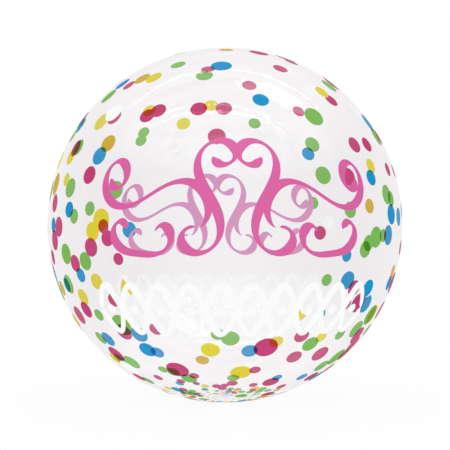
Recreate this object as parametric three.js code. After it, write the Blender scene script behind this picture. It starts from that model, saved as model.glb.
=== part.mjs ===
// A clear bubble balloon: one globe of stretch film, blown up tight and sealed at its neck.
// Millimetres, +Z up, the middle of the foot at the origin, and the printed front facing -Y.
// The balloon is sealed, so its solid is the space that the film encloses.
import * as THREE from "three";

// The globe.
const BUBBLE_RADIUS = 280; // a 22 inch balloon, fully blown up
const ROUND_STEPS = 72; // facets around the globe
const ARC_STEPS = 16; // rings from the foot to the widest ring, and from there to the crown

// The foot: the balloon's weight presses a small flat spot into the taut film.
const FOOT_RADIUS = 38;
const FOOT_BLEND_RADIUS = 60; // the film's bend between the flat spot and the globe
const FOOT_BLEND_STEPS = 3;

// The neck: gathered, welded shut, trimmed and tucked up into a dimple in the middle of the foot.
const DIMPLE_RADIUS = 16; // where the flat of the foot ends
const DIMPLE_HEIGHT = 11;
const DIMPLE_LIP_RADIUS = 3; // the bend where the foot turns up into the dimple
const NECK_RADIUS = 6;
const NECK_WELD_RADIUS = 4.5; // the neck is squeezed thinner where it is welded
const NECK_END_HEIGHT = 1.5; // the trimmed end stays clear of the ground
const NECK_ROOT_RADIUS = 2.2; // half the groove between the neck and the dimple's wall
const PLEATS = 12;
const PLEAT_DEPTH = 0.7; // how far the gathered film stands in and out around the neck
const BEND_STEPS = 4; // facets in each small bend

const point = (radius, height) => new THREE.Vector2(radius, height);

// Points on an arc about a centre, from one angle to another. 0 points outwards and a quarter turn up.
function arc(centre, radius, from, to, steps) {
  const points = [];
  for (let i = 0; i <= steps; i += 1) {
    const angle = from + ((to - from) * i) / steps;
    points.push(point(centre.x + radius * Math.cos(angle), centre.y + radius * Math.sin(angle)));
  }
  return points;
}

// Leaves out points that lie on the one before, such as where one arc ends and the next begins.
function withoutRepeats(points) {
  const smallest = 1e-6;
  return points.filter((p, i) => i === 0 || p.distanceTo(points[i - 1]) > smallest);
}

// The globe's centre sits where a bend of the blend radius touches both the ground and the globe.
function globeHeight() {
  const toBlend = BUBBLE_RADIUS - FOOT_BLEND_RADIUS;
  return FOOT_BLEND_RADIUS + Math.sqrt(toBlend ** 2 - FOOT_RADIUS ** 2);
}

// The neck from its trimmed end up into the dimple, and the dimple down to the foot.
function neckProfile() {
  const down = -Math.PI / 2;
  const grooveCentre = point(NECK_RADIUS + NECK_ROOT_RADIUS, DIMPLE_HEIGHT - NECK_ROOT_RADIUS);
  const lipCentre = point(DIMPLE_RADIUS, DIMPLE_LIP_RADIUS);
  const weldHeight = (NECK_END_HEIGHT + grooveCentre.y) / 2;
  return [
    point(0, NECK_END_HEIGHT),
    point(NECK_WELD_RADIUS, NECK_END_HEIGHT),
    point(NECK_WELD_RADIUS, weldHeight),
    ...arc(grooveCentre, NECK_ROOT_RADIUS, Math.PI, 0, BEND_STEPS),
    ...arc(lipCentre, DIMPLE_LIP_RADIUS, Math.PI, Math.PI - down, BEND_STEPS),
  ];
}

// The foot's outer bend, and the globe up to its crown.
function globeProfile() {
  const down = -Math.PI / 2;
  const centre = point(0, globeHeight());
  const blendCentre = point(FOOT_RADIUS, FOOT_BLEND_RADIUS);
  const leaves = Math.atan2(blendCentre.y - centre.y, blendCentre.x);
  return [
    ...arc(blendCentre, FOOT_BLEND_RADIUS, down, leaves, FOOT_BLEND_STEPS),
    ...arc(centre, BUBBLE_RADIUS, leaves, 0, ARC_STEPS),
    ...arc(centre, BUBBLE_RADIUS, 0, -down, ARC_STEPS).slice(0, -1),
    point(0, centre.y + BUBBLE_RADIUS),
  ];
}

// Gathers the film around the neck: pleats run up the dimple's wall and die out towards the foot.
function pleat(geometry) {
  const places = geometry.getAttribute("position");
  for (let i = 0; i < places.count; i += 1) {
    const [x, y, z] = [places.getX(i), places.getY(i), places.getZ(i)];
    const radius = Math.hypot(x, y);
    const gathered = z < DIMPLE_HEIGHT + 1 && radius > NECK_WELD_RADIUS && radius < DIMPLE_RADIUS;
    if (!gathered) continue;
    const share = Math.min(1, Math.max(0, z - NECK_END_HEIGHT) / (DIMPLE_HEIGHT - NECK_END_HEIGHT));
    const moved = 1 + (PLEAT_DEPTH * share * Math.cos(PLEATS * Math.atan2(y, x))) / radius;
    places.setXY(i, x * moved, y * moved);
  }
}

function bubbleFilm() {
  const geometry = new THREE.LatheGeometry(
    withoutRepeats([...neckProfile(), ...globeProfile()]),
    ROUND_STEPS,
  );
  geometry.rotateX(Math.PI / 2);
  pleat(geometry);
  geometry.computeVertexNormals();
  const clearFilm = new THREE.MeshStandardMaterial({
    name: "clear_film",
    color: new THREE.Color(0.95, 0.93, 0.945),
    roughness: 0.06,
    metalness: 0,
    transparent: true,
    opacity: 0.25,
  });
  const mesh = new THREE.Mesh(geometry, clearFilm);
  mesh.name = "bubble_film";
  return mesh;
}

const balloon = new THREE.Group();
balloon.name = "bubble_balloon";
balloon.add(bubbleFilm());

export default balloon;
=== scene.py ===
# %% [markdown]
# # A clear bubble balloon
#
# The balloon is a single bubble of clear stretch film, blown up until it is tight and round. It is
# printed with confetti dots and, on its front and its back, with two rows of ornament. This lesson
# builds it as one closed surface. The print has no thickness of its own: its outlines are edges of
# the surface, and each ink is a material on the faces inside them.
#
# Lengths are in metres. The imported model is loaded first, and the balloon's size comes from it.

# %% Load the frame
import math

import bpy
import numpy as np
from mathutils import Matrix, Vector
from mathutils.geometry import delaunay_2d_cdt


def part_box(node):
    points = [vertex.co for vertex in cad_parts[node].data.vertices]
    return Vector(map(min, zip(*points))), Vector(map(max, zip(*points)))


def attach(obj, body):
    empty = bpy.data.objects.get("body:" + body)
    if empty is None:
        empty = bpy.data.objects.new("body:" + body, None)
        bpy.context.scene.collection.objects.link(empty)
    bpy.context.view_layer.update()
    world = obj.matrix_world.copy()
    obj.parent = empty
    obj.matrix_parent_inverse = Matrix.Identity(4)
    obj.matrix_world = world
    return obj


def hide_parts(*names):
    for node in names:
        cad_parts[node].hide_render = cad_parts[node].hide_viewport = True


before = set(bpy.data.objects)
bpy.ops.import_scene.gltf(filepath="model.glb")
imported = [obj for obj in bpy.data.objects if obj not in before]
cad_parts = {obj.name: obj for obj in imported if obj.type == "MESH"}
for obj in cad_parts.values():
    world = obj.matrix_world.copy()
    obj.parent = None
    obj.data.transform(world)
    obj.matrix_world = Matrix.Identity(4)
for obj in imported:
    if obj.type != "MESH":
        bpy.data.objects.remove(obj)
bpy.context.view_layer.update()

MM = 0.001
low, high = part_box("bubble_film")
RADIUS = (high.x - low.x) / 2
CENTRE = Vector((0, 0, high.z - RADIUS))
print(f"globe: {2 * RADIUS / MM:.0f} mm across, its centre {CENTRE.z / MM:.1f} mm up")

# %% [markdown]
# ## The camera
#
# A balloon is judged by its outline, so the camera stands level with it and well back: at about
# five radii, the outline is a circle and the print on the front is only a little larger than the
# print on the back. It stands a few degrees to the left, so the front's print is turned a little
# to the right.

# %% The camera
CAMERA_RADII = 4.9  # from the globe's centre
CAMERA_AZIMUTH = math.radians(-3.4)
CAMERA_ELEVATION = math.radians(-1.8)
CAMERA_LENS_MM = 68.1


def compass(azimuth, elevation):
    """The unit vector towards an azimuth, from -Y towards +X, and an elevation above the ground."""
    level = math.cos(elevation)
    return Vector((math.sin(azimuth) * level, -math.cos(azimuth) * level, math.sin(elevation)))


def add_camera():
    data = bpy.data.cameras.new("camera")
    data.lens = CAMERA_LENS_MM
    camera = bpy.data.objects.new("camera", data)
    away = compass(CAMERA_AZIMUTH, CAMERA_ELEVATION)
    camera.location = CENTRE + away * CAMERA_RADII * RADIUS
    camera.rotation_euler = (-away).to_track_quat("-Z", "Y").to_euler()
    bpy.context.scene.collection.objects.link(camera)
    bpy.context.scene.camera = camera
    return camera


camera = add_camera()
print("camera at", [round(x, 3) for x in camera.location])

# %% [markdown]
# ## The film's shape
#
# Blown-up film is a sphere, except where it rests: there its weight presses a small flat foot
# into it, and a bend leads from the foot back to the sphere. A ready-made sphere could be pressed
# flat, but its points would lie nowhere in particular. Here the film's place is a formula of its
# direction from the globe's centre alone, so any outline on it can be worked out in one go. Film
# never stretches quite evenly, though. Swells of a tenth of a millimetre or so are far too low to
# see, but they make the outlines of the highlights wander as they do on a real balloon.

# %% The film's height
FOOT_RADIUS = 38 * MM
FOOT_BLEND = 60 * MM  # radius of the bend between the foot and the globe
BLEND_END = FOOT_RADIUS * RADIUS / (RADIUS - FOOT_BLEND)  # where the bend meets the globe
WAVES = 9
WAVE_LENGTHS = (160 * MM, 45 * MM)
WAVE_SLOPE = 0.004  # the steepest slope of each wave
EVEN_BELOW = -0.97  # the height of a direction, as a share of the radius
SWELL_RISE = 8  # how quickly the swells grow above it


def unevenness(directions):
    """How far the film swells beyond an even sphere in each direction: WAVES plane waves added
    up, each a sine of the way along a direction of its own, and none near the foot."""
    rng = np.random.default_rng(4)
    swell = np.zeros(len(directions))
    for length in np.geomspace(*WAVE_LENGTHS, WAVES):
        heading = rng.normal(size=3)
        heading /= np.linalg.norm(heading)
        phase = 2 * np.pi * (directions @ heading * RADIUS / length + rng.random())
        swell += WAVE_SLOPE * length / (2 * np.pi) * np.sin(phase)
    return swell * np.clip((directions[:, 2] - EVEN_BELOW) * SWELL_RISE, 0, 1)


def film_points(directions):
    """The film's points in each direction from the globe's centre. A point is as far from the
    upright axis as on the sphere. Its height is the sphere's, or below and near the foot that of
    a circle of radius FOOT_BLEND that stands on the ground, or zero on the foot itself."""
    points = directions * (RADIUS + unevenness(directions))[:, None] + np.array(CENTRE)
    out = np.hypot(points[:, 0], points[:, 1])
    past_foot = np.clip(out - FOOT_RADIUS, 0, FOOT_BLEND)
    bend = FOOT_BLEND - np.sqrt(FOOT_BLEND**2 - past_foot**2)
    under = (directions[:, 2] < 0) & (out < BLEND_END)
    points[:, 2] = np.where(under, bend, points[:, 2])
    return points


def film_normals(directions):
    """The film's outward normals: the direction itself on the globe, and on the bend the way from
    the middle of its circle, which turns to straight down on the foot."""
    out = np.hypot(directions[:, 0], directions[:, 1]) * RADIUS
    lean = np.clip(out - FOOT_RADIUS, 0, FOOT_BLEND) / FOOT_BLEND
    level = directions[:, :2] * (lean * RADIUS / np.maximum(out, 1e-9))[:, None]
    bend = np.column_stack([level, -np.sqrt(1 - lean**2)])
    under = (directions[:, 2] < 0) & (out < BLEND_END)
    return np.where(under[:, None], bend, directions)


def towards(longitude, latitude):
    """Unit directions for a longitude, which is 0 at the front and grows to the viewer's right,
    and a latitude, both in radians."""
    level = np.cos(latitude)
    return np.stack(
        [level * np.sin(longitude), -level * np.cos(longitude), np.sin(latitude)], axis=-1
    )


bottom = film_points(towards(np.zeros(1), np.radians([-90.0])))[0]
print(f"lowest point of the film at {bottom[2] / MM:.2f} mm")

# %% [markdown]
# ## The confetti
#
# Confetti looks random but isn't: real confetti prints keep dots from piling up and still let
# some of them touch. Here each dot is thrown at a random place and kept only if it isn't too
# close to those before it. About a third of them get a partner that touches or overlaps them. The
# film is stretched less towards its neck, so the dots there stay small and crowded, and some more
# are thrown round it afterwards. Apart from a few, all dots keep clear of the two panels where the
# ornament is.

# %% Throw the dots
INKS = ["clear", "magenta", "green", "blue", "overlap", "yellow", "gold", "white", "pink"]
BASES = ["pink base", "white base"]
DOT_INKS = {"magenta": 0.35, "green": 0.26, "blue": 0.14, "yellow": 0.14, "gold": 0.04, "white": 0.07}
DOT_RADII = {11.5 * MM: 0.30, 13 * MM: 0.28, 15 * MM: 0.24, 17 * MM: 0.18}
DOT_SPACING = 73 * MM  # between the centres of dots that were thrown on their own
SPACING_SPREAD = (0.75, 1.25)
WIDER_ABOVE = 12 * MM  # how much wider that is at the top, and how much closer at the neck
CLOSER_ASIDE = 18 * MM  # how much closer it is midway between the panels
PARTNERS = 0.34  # share of the dots that get a partner
PARTNER_SPREAD = (0.7, 1.05)  # between two partners' centres, as a share of their radii together
THROWS = 9000
NECK_SHARE = 0.12  # share of them thrown near the neck, to fill it too
NECK_LATITUDES = (-86.5, -60)  # degrees
CROWD_THROWS = 500  # thrown after them, closer together and closer to the neck
CROWD_LATITUDES = (-86.5, -74)  # degrees
CROWDING = 0.5
LOWEST_DOT = -0.998  # the height of its direction
LOWEST_PARTNER = -0.99
NECK_STRETCH = 0.25  # of the film at the neck, as a share of its stretch on the globe
STRETCH_START = math.radians(3)  # from the lowest point
STRETCH_REACH = math.radians(37)  # from there to where the film is fully stretched
PANEL_REACH = np.radians([40, 35])  # half the width, and half the height, of each panel
PANEL_LATITUDE = np.radians(-3)
STRAYS = 0.002  # share of the dots thrown at a panel that stay


def stretch(direction):
    """How far the film is stretched, as a share of its stretch on the globe: 1 down to 40 degrees
    from the lowest point, and less in a smooth step from there to the neck."""
    from_neck = math.acos(max(-1.0, min(1.0, -direction[2])))
    share = min(1.0, max(0.0, (from_neck - STRETCH_START) / STRETCH_REACH))
    return NECK_STRETCH + (1 - NECK_STRETCH) * share * share * (3 - 2 * share)


def on_a_panel(direction):
    """True inside either panel: a rounded box of longitudes and latitudes."""
    longitude = math.atan(direction[0] / max(abs(direction[1]), 1e-9))
    latitude = math.asin(direction[2]) - PANEL_LATITUDE
    return (longitude / PANEL_REACH[0]) ** 4 + (latitude / PANEL_REACH[1]) ** 4 < 1


def beside(direction, angle, turn):
    """The direction that lies angle away from another, on the side that turn gives."""
    east = np.cross(direction, [0.0, 0.0, 1.0])
    east /= np.linalg.norm(east)
    north = np.cross(east, direction)
    side = math.cos(turn) * east + math.sin(turn) * north
    return math.cos(angle) * direction + math.sin(angle) * side


def throw_dots(rng):
    """Dots as rows of x, y, z, angular radius and ink. A thrown dot stays if every earlier one is
    at least a spacing away, which varies by a quarter and shrinks with the film's stretch."""
    dots = []

    def clear_of_others(place, gap):
        if not dots:
            return True
        return float((np.array(dots)[:, :3] @ place).max()) < math.cos(gap)

    def pick(table):
        return rng.choice(list(table), p=list(table.values()))

    def add(place, radius, ink):
        dots.append([*place, radius, INKS.index(ink)])

    def anywhere():
        place = rng.normal(size=3)
        return place / np.linalg.norm(place)

    def near_neck(latitudes):
        return towards(rng.uniform(0, 2 * np.pi), rng.uniform(*np.radians(latitudes)))

    def throw(place, crowding):
        radius, ink = pick(DOT_RADII) / RADIUS, pick(DOT_INKS)
        spacing, stray = rng.uniform(*SPACING_SPREAD), rng.random()
        partner, turn, apart = rng.random(), rng.uniform(0, 2 * np.pi), rng.uniform(*PARTNER_SPREAD)
        second, second_ink = pick(DOT_RADII) / RADIUS, pick(DOT_INKS)
        size = stretch(place)
        if place[2] < LOWEST_DOT or (on_a_panel(place) and stray > STRAYS):
            return
        gap = (DOT_SPACING + WIDER_ABOVE * place[2] - CLOSER_ASIDE * abs(place[0])) / RADIUS
        if not clear_of_others(place, gap * spacing * size * crowding):
            return
        add(place, radius * size, ink)
        near = beside(place, (radius + second) * size * apart, turn)
        if partner < PARTNERS and not on_a_panel(near) and near[2] > LOWEST_PARTNER:
            add(near, second * size, second_ink)

    for _ in range(THROWS):
        place = anywhere()
        throw(near_neck(NECK_LATITUDES) if rng.random() < NECK_SHARE else place, 1)
    for _ in range(CROWD_THROWS):
        throw(near_neck(CROWD_LATITUDES), CROWDING)
    return np.array(dots)


dots = throw_dots(np.random.default_rng(41))
print(f"{len(dots)} confetti dots")

# %% [markdown]
# ## The scrolls
#
# Each panel has two rows in the place and the scale of a printed greeting. The tall pink row is
# made of scrolls, the strokes that smiths bend for railings: an S winds one way at one end and the
# other way at the other, and a C winds the same way at both. Such a stroke has a neat formula,
# because its bend simply grows with the distance from its middle. The low white row is a plait of
# two waves with a dot in each eye. Only the right half of each row is drawn. The left half is its
# mirror image.

# %% Draw the scrolls
STROKE_POINTS = 600
EYES = 5  # between crossings of the plait, on the right half of a panel
EYE_WIDTH, EYE_HEIGHT = 45, 72  # millimetres
PLAIT_LATITUDE = -126  # millimetres up from the equator


def scroll(shape, turns, ends, lean, size, middle):
    """A stroke made of small steps along a changing heading, fitted to a size about a middle, in
    millimetres. With s the way gone from the stroke's middle, as a share, the heading is the lean
    plus turns * s**2 for an S, or plus turns * s * |s|**1.2 for a C."""
    way = np.linspace(*ends, STROKE_POINTS)
    bend = way**2 if shape == "S" else way * np.abs(way) ** 1.2
    heading = math.radians(lean) + 2 * np.pi * turns * bend
    path = np.cumsum(np.column_stack([np.cos(heading), np.sin(heading)]), axis=0)
    least, most = path.min(0), path.max(0)
    return (path - (least + most) / 2) * np.array(size) / (most - least) + np.array(middle)


def wave(side):
    """Half of a plait's strand: y = side * sin x, which crosses the other strand at every half
    turn."""
    x = np.linspace(0, EYES * EYE_WIDTH, STROKE_POINTS)
    y = PLAIT_LATITUDE + side * EYE_HEIGHT / 2 * np.sin(np.pi * x / EYE_WIDTH)
    return np.column_stack([x, y])


# Each middle is in millimetres across from the panel's own, and up from the equator.
lyre = scroll("S", 1.05, (-0.9, 1), 62, (72, 150), (38, 30))
arm = scroll("S", 1.3, (-0.62, 1), -25, (154, 92), (115, 34))
tendril = scroll("C", 0.9, (-0.9, 0.9), 5, (86, 44), (131, -25))
rows = {"pink": [lyre, arm, tendril], "white": [wave(1), wave(-1)]}
print("strokes on half a panel:", {name: len(row) for name, row in rows.items()})

# %% [markdown]
# ## The pen
#
# The pink row is drawn as if with a broad pen that is held at one angle: a stroke along that angle
# is thin, and a stroke across it is thick. A curve with a bevel would give wire of one thickness
# instead. The white row's pen is nearly round. Both lift off gently, so that strokes thin at their
# ends. The outline of a stroke is its path moved to either side by half of its width.

# %% Ink the scrolls
NIB = math.radians(142)
PEN_STEP = 2.4  # millimetres along the path
BLUNT_END = 0.02  # the least share of the lift, which keeps an outline's two sides apart
EYE_DOT = 7  # millimetres in radius
EYE_DOT_SIDES = 20
PENS = {"pink": (4.5, 14, 12), "white": (8, 12, 8)}  # thin, thick and lift-off, in millimetres


def evenly_spaced(path):
    """The path's points again, at even distances along it, and those distances."""
    way = np.concatenate([[0], np.cumsum(np.linalg.norm(np.diff(path, axis=0), axis=1))])
    at = np.linspace(0, way[-1], max(8, round(way[-1] / PEN_STEP)))
    return np.column_stack([np.interp(at, way, path[:, k]) for k in range(2)]), at


def pen_outline(path, thin, thick, lift):
    """A closed outline round a path. The width is thin along the nib and thick across it, by the
    squared sine of the angle between the path and the nib, and rises from nothing within lift."""
    spaced, way = evenly_spaced(path)
    along = np.gradient(spaced, axis=0)
    along /= np.linalg.norm(along, axis=1, keepdims=True)
    turned = np.arctan2(along[:, 1], along[:, 0]) - NIB
    from_end = np.minimum(way, way[-1] - way)
    lifted = np.sqrt(np.clip(from_end / lift, BLUNT_END, 1))
    width = (thin + (thick - thin) * np.sin(turned) ** 2) * lifted
    half = np.column_stack([-along[:, 1], along[:, 0]]) * width[:, None] / 2
    return np.vstack([spaced + half, (spaced - half)[::-1]])


def eye_dot(number):
    """A small circle in the middle of one of the plait's eyes."""
    turn = np.linspace(0, 2 * np.pi, EYE_DOT_SIDES, endpoint=False)
    middle = [(number + 0.5) * EYE_WIDTH, PLAIT_LATITUDE]
    return middle + EYE_DOT * np.column_stack([np.cos(turn), np.sin(turn)])


def panel_outlines():
    """The ink and the outline of every stroke and dot on a panel, the right half's and then the
    left half's."""
    right = [(name, pen_outline(path, *PENS[name])) for name, row in rows.items() for path in row]
    right += [("white", eye_dot(number)) for number in range(EYES)]
    return right + [(name, outline * [-1, 1]) for name, outline in right]


panel_print = panel_outlines()
print(f"{len(panel_print)} strokes and dots on each panel")

# %% [markdown]
# ## The surface and its print
#
# A picture wrapped round the globe would blur from close by and pinch at the poles. So the film is
# one closed surface whose edges run along every outline of the print. Blender can lay triangles
# between given points so that given edges are kept, on a flat sheet. A map that keeps circles as
# circles, seen from the lowest point, brings the globe to such a sheet and back, and keeps the
# triangles well shaped on the way. Points spread in a spiral fill the rest.

# %% Outlines on the globe
DOT_SIDES = 30
RIM_RADIUS = 16 * MM  # the foot's inner edge, where the neck begins
RIM_SIDES = 96
FILLER_POINTS = 15000
FILLER_GAP = 3.2 * MM  # fillers keep this far from outlines
FILLER_START = 1.15 * RIM_RADIUS  # fillers keep this far from the lowest point
BLOCKS = 60  # points are compared in this many goes, to save memory
PANELS = (0.0, math.pi)  # how far round the front's and the back's panels are


def dot_outlines(dots):
    """Circles of DOT_SIDES points round each dot's direction, for all dots at once."""
    middle = dots[:, :3]
    east = np.cross(middle, [0.0, 0.0, 1.0])
    east /= np.linalg.norm(east, axis=1, keepdims=True)
    north = np.cross(east, middle)
    turn = 2 * np.pi * np.arange(DOT_SIDES) / DOT_SIDES
    ring = east[:, None] * np.cos(turn)[:, None] + north[:, None] * np.sin(turn)[:, None]
    radius = dots[:, 3, None, None]
    return middle[:, None] * np.cos(radius) + ring * np.sin(radius)


def on_globe(outline, turned):
    """A panel's outline in millimetres, as directions, on the side of the balloon that turned
    gives."""
    angles = outline * MM / RADIUS
    return towards(angles[:, 0] + turned, angles[:, 1])


def spiral_directions(count):
    """Directions spread evenly over a sphere: equal steps in height, and a golden angle each."""
    height = 1 - 2 * (np.arange(count) + 0.5) / count
    longitude = np.pi * (3 - math.sqrt(5)) * np.arange(count)
    return towards(longitude, np.arcsin(height))


def rim_directions():
    """The ring of directions where the foot ends and the neck begins."""
    turn = 2 * np.pi * np.arange(RIM_SIDES) / RIM_SIDES
    return towards(turn, np.full(RIM_SIDES, -math.acos(RIM_RADIUS / RADIUS)))


def far_from(points, others, gap):
    """True for each point that has none of the others within gap of it."""
    nearest = [(block @ others.T).max(axis=1) for block in np.array_split(points, BLOCKS)]
    return np.concatenate(nearest) < math.cos(gap / RADIUS)


outlines = list(dot_outlines(dots))
for turned in PANELS:
    outlines += [on_globe(outline, turned) for _, outline in panel_print]
outlines.append(rim_directions())
fillers = spiral_directions(FILLER_POINTS)
above_rim = fillers[:, 2] > -math.cos(FILLER_START / RADIUS)
fillers = fillers[above_rim & far_from(fillers, np.vstack(outlines), FILLER_GAP)]
print(f"{sum(map(len, outlines))} outline points and {len(fillers)} fillers")


# %% Triangles between them
MERGE_DISTANCE = 1e-7  # on the flat sheet


def flattened(directions):
    """Directions to a flat sheet, seen from the lowest point. This map keeps circles."""
    return directions[:, :2] / (1 + directions[:, 2:])


def raised(flat):
    """The flat sheet back to directions."""
    square = (flat**2).sum(1, keepdims=True)
    return np.hstack([2 * flat, 1 - square]) / (1 + square)


def closed_edges(outlines):
    """The edges round each outline, as numbers of points that follow each other."""
    edges, first = [], 0
    for outline in outlines:
        loop = first + np.arange(len(outline))
        edges.append(np.column_stack([loop, np.roll(loop, -1)]))
        first += len(outline)
    return np.vstack(edges)


def triangulated(outlines, fillers):
    """Directions and triangles that keep every outline's edges, faces outwards."""
    flat = flattened(np.vstack([*outlines, fillers]))
    points = [Vector(point) for point in flat.tolist()]
    edges = closed_edges(outlines).tolist()
    made = delaunay_2d_cdt(points, edges, [], 0, MERGE_DISTANCE, False)
    corners = np.array(made[2])
    directions = raised(np.array([tuple(point) for point in made[0]]))
    directions /= np.linalg.norm(directions, axis=1, keepdims=True)
    return directions, outward(corners, directions)


def outward(corners, directions):
    """The triangles, each turned so that its normal points away from the globe's centre."""
    a, b, c = (directions[corners[:, k]] for k in range(3))
    inside_out = (np.cross(b - a, c - a) * a).sum(1) < 0
    return np.where(inside_out[:, None], corners[:, ::-1], corners)


directions, triangles = triangulated(outlines, fillers)
print(f"{len(directions)} points and {len(triangles)} triangles on the globe")


# %% Which ink is on each triangle
FARTHEST_STROKE = math.radians(60)  # round from the middle of its panel


def in_outline(points, outline):
    """True for points that an outline winds round, even where it crosses itself. An edge that
    passes a point's height to its right counts as a turn, up or down."""
    a, b = outline, np.roll(outline, -1, axis=0)
    x, y = points[:, :1], points[:, 1:]
    left_of = (b[:, 0] - a[:, 0]) * (y - a[:, 1]) - (x - a[:, 0]) * (b[:, 1] - a[:, 1])
    up = (a[:, 1] <= y) & (b[:, 1] > y) & (left_of > 0)
    down = (a[:, 1] > y) & (b[:, 1] <= y) & (left_of < 0)
    return (up.sum(1) - down.sum(1)) != 0


def panel_places(middles, turned):
    """Millimetres across and up on a panel for directions, and which of them are near it."""
    longitude = np.arctan2(middles[:, 0], -middles[:, 1]) - turned
    longitude = (longitude + np.pi) % (2 * np.pi) - np.pi
    latitude = np.arcsin(np.clip(middles[:, 2], -1, 1))
    places = np.column_stack([longitude, latitude]) * RADIUS / MM
    return places, np.abs(longitude) < FARTHEST_STROKE


def ink_numbers(middles):
    """The number in INKS for each direction: dots first, later ones over earlier ones, then the
    pink strokes and the white ones over all. Two different ones of the three darkest inks make a
    dark overlap."""
    ink = np.zeros(len(middles), int)
    overlap = INKS.index("overlap")
    for *middle, radius, number in dots:
        covered = np.flatnonzero(middles @ middle > math.cos(radius))
        before = ink[covered]
        dark = (0 < before) & (before < overlap) & (before != number) & (number < overlap)
        ink[covered] = np.where(dark, overlap, number)
    for turned in PANELS:
        places, near = panel_places(middles, turned)
        for name, outline in panel_print:
            low, high = outline.min(0), outline.max(0)
            close = np.flatnonzero(near & ((places > low) & (places < high)).all(1))
            ink[close[in_outline(places[close], outline)]] = INKS.index(name)
    return ink


middles = directions[triangles].sum(1)
middles /= np.linalg.norm(middles, axis=1, keepdims=True)
inks = ink_numbers(middles)
print("triangles by ink:", dict(zip(INKS, np.bincount(inks, minlength=len(INKS)).tolist())))

# %% [markdown]
# ## The neck
#
# The neck is where the film was gathered, filled and welded shut. Here it is trimmed short and
# tucked up into a dimple in the foot, where its pleats show only from below. It is a profile
# turned about the upright axis, with the pleats as a ripple round it, and it starts on the very
# points of the foot's inner edge, so that the film stays closed.

# %% Turn the neck
LIP_RADIUS = 3 * MM
DIMPLE_HEIGHT = 11 * MM
NECK_RADIUS = 6 * MM
WELD_RADIUS = 4.5 * MM
NECK_END = 1.5 * MM
GROOVE_RADIUS = 2.2 * MM
PLEATS = 12
PLEAT_DEPTH = 0.7 * MM


def arc(centre, radius, start, end, steps):
    """Points on a circle about a centre, from one angle to another."""
    angle = np.linspace(start, end, steps + 1)
    return centre + radius * np.column_stack([np.cos(angle), np.sin(angle)])


def neck_profile():
    """Distances from the axis and heights: up the dimple's wall, round the groove, down the neck
    and across its welded end."""
    quarter = np.pi / 2
    groove = np.array([NECK_RADIUS + GROOVE_RADIUS, DIMPLE_HEIGHT - GROOVE_RADIUS])
    weld = (NECK_END + groove[1]) / 2
    lip = arc(np.array([RIM_RADIUS, LIP_RADIUS]), LIP_RADIUS, 3 * quarter, 2 * quarter, 8)[1:]
    neck = [[WELD_RADIUS, weld], [WELD_RADIUS, NECK_END], [WELD_RADIUS / 2, NECK_END]]
    return np.vstack([lip, arc(groove, GROOVE_RADIUS, 0, 2 * quarter, 12), neck])


def turned_neck(turns):
    """The profile turned about the axis: x = r cos a and y = r sin a for every point and angle,
    with r swelling and shrinking PLEATS times round, more the higher the point."""
    out, up = neck_profile().T
    share = np.clip((up - NECK_END) / (DIMPLE_HEIGHT - NECK_END), 0, 1)
    radius = out[:, None] + PLEAT_DEPTH * share[:, None] * np.cos(PLEATS * turns)
    height = np.broadcast_to(up[:, None], radius.shape)
    return np.stack([radius * np.cos(turns), radius * np.sin(turns), height], axis=-1)


def neck_triangles(rim, first, rings):
    """Two triangles for each step round and down, from the rim's points through the rings, and a
    fan that closes the neck's end."""
    around = len(rim)
    grid = np.vstack([rim, first + np.arange(rings * around).reshape(rings, around)])
    after = np.roll(grid, -1, axis=1)
    a, b, c, d = grid[:-1], after[:-1], after[1:], grid[1:]
    walls = np.concatenate(
        [np.stack([a, c, b], axis=-1).reshape(-1, 3), np.stack([a, d, c], axis=-1).reshape(-1, 3)]
    )
    tip = np.full(around, first + rings * around)
    fan = np.stack([grid[-1], tip, after[-1]], axis=-1)
    return np.vstack([walls, fan])


def with_neck(directions, triangles):
    """The film's points, normals and triangles with the neck's joined on at the rim."""
    points, normals = film_points(directions), film_normals(directions)
    out = np.hypot(points[:, 0], points[:, 1])
    rim = np.flatnonzero((directions[:, 2] < 0) & (out < RIM_RADIUS * 1.001))
    turns = np.arctan2(points[rim, 1], points[rim, 0])
    order = np.argsort(turns)
    rim, turns = rim[order], turns[order]
    neck = turned_neck(turns)
    extra = neck_triangles(rim, len(points), len(neck))
    tip = [[0.0, 0.0, NECK_END]]
    return (
        np.vstack([points, neck.reshape(-1, 3), tip]),
        normals,
        np.vstack([triangles, extra]),
    )


points, globe_normals, faces = with_neck(directions, triangles)
print(f"{len(points)} points and {len(faces)} triangles with the neck")


# %% [markdown]
# ## The base under the opaque inks
#
# Printers lay a white base under a light ink that has to cover well. From inside the balloon the
# base is what shows, so the pink scrolls on its far side look pale, and the white plait is bright.
# Part of that brightness is painted light: each base glows faintly, standing for the light that
# comes through it from outside. Each base is a thin closed layer just inside the film, under the
# very triangles that carry its ink. The film is shaded smooth and the bases aren't, so that the
# light doesn't round off over their thin edges.

# %% Lay the bases
BASE_DEPTHS = (0.1 * MM, 0.4 * MM)


def base_layer(points, normals, corners):
    """A closed layer under triangles: their points moved inwards by both depths, the triangles
    themselves above, turned over below, and two triangles down from each edge that has only one
    triangle beside it."""
    used, top = np.unique(corners, return_inverse=True)
    top = top.reshape(-1, 3)
    count = len(used)
    sides = np.vstack([top[:, [0, 1]], top[:, [1, 2]], top[:, [2, 0]]])
    lone = ~np.isin(sides[:, 0] * count + sides[:, 1], sides[:, 1] * count + sides[:, 0])
    a, b = sides[lone].T
    walls = [np.column_stack([b, a, a + count]), np.column_stack([b, a + count, b + count])]
    layer = [points[used] - normals[used] * depth for depth in BASE_DEPTHS]
    return np.vstack(layer), np.vstack([top, top[:, ::-1] + count, *walls])


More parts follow.
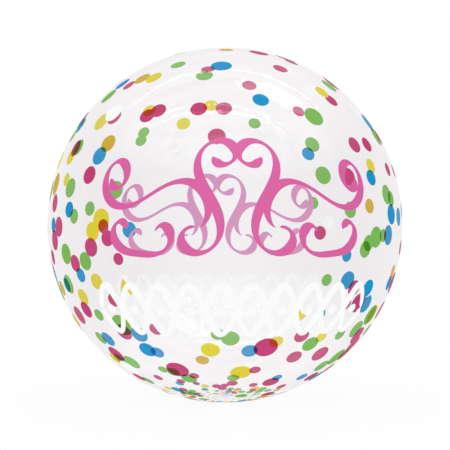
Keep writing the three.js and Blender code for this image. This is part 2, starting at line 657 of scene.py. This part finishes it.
slots = np.zeros(len(faces), np.int32)
slots[: len(inks)] = inks
for number, base in enumerate(BASES, len(INKS)):
    inked = triangles[inks == INKS.index(base.split()[0])]
    base_points, base_faces = base_layer(points, globe_normals, inked)
    faces = np.vstack([faces, base_faces + len(points)])
    points = np.vstack([points, base_points])
    slots = np.append(slots, np.full(len(base_faces), number, np.int32))
    print(f"{len(base_faces)} triangles in the {base}")
print(f"{len(faces)} triangles in all")


# %% Make the mesh
def film_mesh(points, faces, slots):
    """The whole balloon's mesh, with a material's number on each face and smooth film."""
    mesh = bpy.data.meshes.new("bubble_film")
    mesh.from_pydata(points.tolist(), [], faces.tolist())
    mesh.polygons.foreach_set("material_index", slots)
    mesh.polygons.foreach_set("use_smooth", slots < len(INKS))
    mesh.update()
    return mesh


mesh = film_mesh(points, faces, slots)
balloon = bpy.data.objects.new("clear_bubble", mesh)
bpy.context.scene.collection.objects.link(balloon)
print("mesh is sound:", not mesh.validate(verbose=False))

# %% [markdown]
# ## The finishes
#
# Clear film hides very little of what is behind it, and mirrors some hundredths of what is in
# front of it. A low alpha gives the first. The mirroring needs a high index of refraction, because
# the alpha thins it too. The dots are printed in clear inks, which colour the light that passes
# through them, so that a dot in front of another one on the far side turns dark. That is
# transmission with an index of 1, which bends no light, under a coat that gives the gloss back.
# Where two dark dots overlap on one side, the film has both inks on one spot, which is nearly
# black. White ink, pink ink and their bases are opaque, but let a little light through from behind.
# That light is painted: each of them glows faintly of its own, though none is a lamp. White ink
# and the bases hold so much pigment that they dry matt, while the pink keeps the film's gloss. The
# film and its inks are never quite smooth either: ripples a quarter of a millimetre high and about
# 15 mm across soften the highlights. They are too fine for the mesh, so they are a bump on the
# shading alone.

# %% Materials
FILM_ALPHA = 0.11
RIPPLES_A_METRE = 65
RIPPLE_HEIGHT = 0.25 * MM
LIT_SHARE = 0.85  # of an opaque ink's colour, which its glow adds to


def plain_shader(name, colour, **values):
    """A material with plain values, each named as its socket is, with _ for a space."""
    material = bpy.data.materials.new(name)
    material.use_nodes = True
    shader = material.node_tree.nodes["Principled BSDF"]
    shader.inputs["Base Color"].default_value = (*colour, 1)
    for socket, value in values.items():
        shader.inputs[socket.replace("_", " ")].default_value = value
    return material


def add_ripples(material):
    """Soft noise on the film's own coordinates, as a bump that both the ink and its gloss follow."""
    nodes, links = material.node_tree.nodes, material.node_tree.links
    noise = nodes.new("ShaderNodeTexNoise")
    noise.inputs["Scale"].default_value = RIPPLES_A_METRE
    links.new(nodes.new("ShaderNodeTexCoord").outputs["Object"], noise.inputs["Vector"])
    bump = nodes.new("ShaderNodeBump")
    bump.inputs["Distance"].default_value = RIPPLE_HEIGHT
    links.new(noise.outputs["Fac"], bump.inputs["Height"])
    for socket in ("Normal", "Coat Normal"):
        links.new(bump.outputs["Normal"], nodes["Principled BSDF"].inputs[socket])


def clear_ink(name, tint):
    """An ink that colours light by its tint. The shader takes the square root of its colour, for
    light that goes in and out of a solid, so the colour of a single film is the tint squared."""
    return plain_shader(
        name + "_ink",
        [share**2 for share in tint],
        Roughness=0.0,
        IOR=1.0,
        Transmission_Weight=0.92,
        Coat_Weight=0.2,
        Coat_Roughness=0.05,
    )


def opaque_ink(name, colour, glow, gloss=0.0):
    """An ink that hides what is behind it, with a faint painted glow that stands for the light it
    lets through from behind. It is matt unless given a gloss.
    """
    return plain_shader(
        name.replace(" ", "_"),
        [LIT_SHARE * share for share in colour],
        Roughness=0.3,
        Specular_IOR_Level=gloss,
        Emission_Color=(*colour, 1),
        Emission_Strength=glow,
    )


materials = [
    plain_shader("stretch_film", (0.38, 0.18, 0.31), Roughness=0.05, IOR=4.75, Alpha=FILM_ALPHA),
    clear_ink("magenta", (0.59, 0.060, 0.20)),
    clear_ink("green", (0.225, 0.53, 0.11)),
    clear_ink("blue", (0.010, 0.33, 0.64)),
    clear_ink("overlap", (0.040, 0.015, 0.025)),
    clear_ink("yellow", (0.78, 0.68, 0.050)),
    clear_ink("gold", (0.67, 0.46, 0.050)),
    # The last number of each opaque ink is its glow: painted light for what it lets through from
    # behind.
    opaque_ink("white ink", (0.95, 0.96, 0.95), 0.16),
    opaque_ink("pink ink", (0.72, 0.11, 0.36), 0.15, gloss=0.5),
    opaque_ink("pink base", (0.74, 0.33, 0.58), 0.2),
    opaque_ink("white base", (0.93, 0.96, 0.96), 0.3),
]
for material in materials:
    add_ripples(material)
    mesh.materials.append(material)

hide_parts("bubble_film")
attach(balloon, "root")
print("materials:", ", ".join(material.name for material in materials))

# %% [markdown]
# ## The studio
#
# A clear object shows little but what is behind it, so the studio is white all round, and the
# floor glows until it is as white as the world. White light alone would leave the film without
# highlights, though. What the film mirrors is therefore a room of its own: dim, with a bright and
# streaked ceiling and floor, which lay soft bands across the top and the bottom of the globe. Real
# lamps could do that too, but they would light the white floor unevenly. The few lamps here are
# ellipses that only the film's gloss sees: a broad one for the patch of light high on the right,
# and long thin ones for the arcs across the front and the back.

# %% The room in the highlights
WALLS = 0.1
WALL_RISE = 0.6  # how much brighter the walls are straight in front and straight behind
CEILING = 1.0  # the floor too
CEILING_EDGE = (0.45, 0.75)  # the direction's height where the ceiling starts and is full
STREAKS = (0.7, 9.0, 9.0)  # how quickly the ceiling changes along x, y and z
STREAK_MEAN = 0.5
ROOM_TINT = (0.96, 1.0, 0.95, 1)


def math_node(tree, operation, *values):
    """The result of one sum on plain numbers and other nodes' outputs."""
    node = tree.nodes.new("ShaderNodeMath")
    node.operation = operation
    for socket, value in zip(node.inputs, values):
        if isinstance(value, bpy.types.NodeSocket):
            tree.links.new(value, socket)
        else:
            socket.default_value = value
    return node.outputs[0]


def streaked(tree, direction):
    """Noise of a direction, drawn out from left to right."""
    stretched = tree.nodes.new("ShaderNodeMapping")
    stretched.inputs["Scale"].default_value = STREAKS
    tree.links.new(direction, stretched.inputs["Vector"])
    noise = tree.nodes.new("ShaderNodeTexNoise")
    noise.inputs["Scale"].default_value = 1.0
    tree.links.new(stretched.outputs["Vector"], noise.inputs["Vector"])
    return noise.outputs["Fac"]


def room_brightness(tree):
    """How bright the room is in each direction. The walls grow by the square of its y, and the
    streaked ceiling and floor are added by a smooth step of its height or depth."""
    direction = tree.nodes.new("ShaderNodeTexCoord").outputs["Generated"]
    axes = tree.nodes.new("ShaderNodeSeparateXYZ")
    tree.links.new(direction, axes.inputs[0])
    step = tree.nodes.new("ShaderNodeMapRange")
    step.interpolation_type = "SMOOTHSTEP"
    step.inputs["From Min"].default_value, step.inputs["From Max"].default_value = CEILING_EDGE
    tree.links.new(math_node(tree, "ABSOLUTE", axes.outputs["Z"]), step.inputs["Value"])
    ceiling = math_node(tree, "MULTIPLY", step.outputs["Result"], streaked(tree, direction))
    rise = math_node(tree, "POWER", axes.outputs["Y"], 2)
    walls = math_node(tree, "MULTIPLY_ADD", rise, WALL_RISE, WALLS)
    return math_node(tree, "MULTIPLY_ADD", ceiling, CEILING / STREAK_MEAN, walls)


def add_world():
    """White all round for everything but mirrored light, which comes from the room. A ray that
    passed through an ink may count as mirrored too, so it is sorted out."""
    world = bpy.data.worlds.new("studio")
    world.use_nodes = True
    tree = world.node_tree
    white = tree.nodes["Background"]
    white.inputs["Color"].default_value = (1, 1, 1, 1)
    room = tree.nodes.new("ShaderNodeBackground")
    room.inputs["Color"].default_value = ROOM_TINT
    tree.links.new(room_brightness(tree), room.inputs["Strength"])
    path = tree.nodes.new("ShaderNodeLightPath").outputs
    mirrored = math_node(tree, "GREATER_THAN", path["Is Glossy Ray"], path["Is Transmission Ray"])
    mix = tree.nodes.new("ShaderNodeMixShader")
    tree.links.new(mirrored, mix.inputs[0])
    tree.links.new(white.outputs[0], mix.inputs[1])
    tree.links.new(room.outputs[0], mix.inputs[2])
    tree.links.new(mix.outputs[0], tree.nodes["World Output"].inputs["Surface"])
    bpy.context.scene.world = world


add_world()
print("the film mirrors walls, and a ceiling and a floor", CEILING / WALLS, "times as bright")

# %% Floor and lamps
FLOOR_ALBEDO = 0.12  # low, so that the balloon hardly shades the floor
FLOOR_REACH = 60.0


def add_floor():
    """A floor that glows as much as it fails to scatter, and shows in no mirrored light."""
    mesh = bpy.data.meshes.new("floor")
    corners = [(x * FLOOR_REACH, y * FLOOR_REACH, 0) for x, y in [(-1, -1), (1, -1), (1, 1), (-1, 1)]]
    mesh.from_pydata(corners, [], [(0, 1, 2, 3)])
    floor = bpy.data.objects.new("floor", mesh)
    material = plain_shader("white_floor", (FLOOR_ALBEDO,) * 3, Roughness=1.0)
    shader = material.node_tree.nodes["Principled BSDF"]
    shader.inputs["Specular IOR Level"].default_value = 0
    shader.inputs["Emission Color"].default_value = (1, 1, 1, 1)
    shader.inputs["Emission Strength"].default_value = 1 - FLOOR_ALBEDO
    mesh.materials.append(material)
    floor.visible_glossy = False
    bpy.context.scene.collection.objects.link(floor)


def add_softbox(name, azimuth, elevation, distance, width, height, strength):
    """An elliptical lamp that only mirrored light shows, aimed at the globe's centre. Angles are
    in degrees, and the distance is from the centre."""
    data = bpy.data.lights.new(name, "AREA")
    data.shape = "ELLIPSE"
    data.size, data.size_y = width, height
    data.energy = strength * math.pi**2 / 4 * width * height  # watts for a radiance of strength
    lamp = bpy.data.objects.new(name, data)
    away = compass(math.radians(azimuth), math.radians(elevation))
    lamp.location = CENTRE + away * distance
    lamp.rotation_euler = (-away).to_track_quat("-Z", "Y").to_euler()
    lamp.visible_camera = False
    lamp.visible_diffuse = False
    bpy.context.scene.collection.objects.link(lamp)


add_floor()
add_softbox("overhead softbox", 77, 69, 1.68, 0.4, 1.0, 2.2)
add_softbox("front tube", -12, 65.4, 1.72, 2.4, 0.03, 6.0)
add_softbox("second front tube", -14, 69.8, 1.71, 2.4, 0.02, 5.0)
add_softbox("back tube", 175, 80, 1.31, 2.2, 0.03, 6.0)
bpy.context.scene.view_settings.view_transform = "Standard"
print("lamps:", ", ".join(lamp.name for lamp in bpy.data.lights))
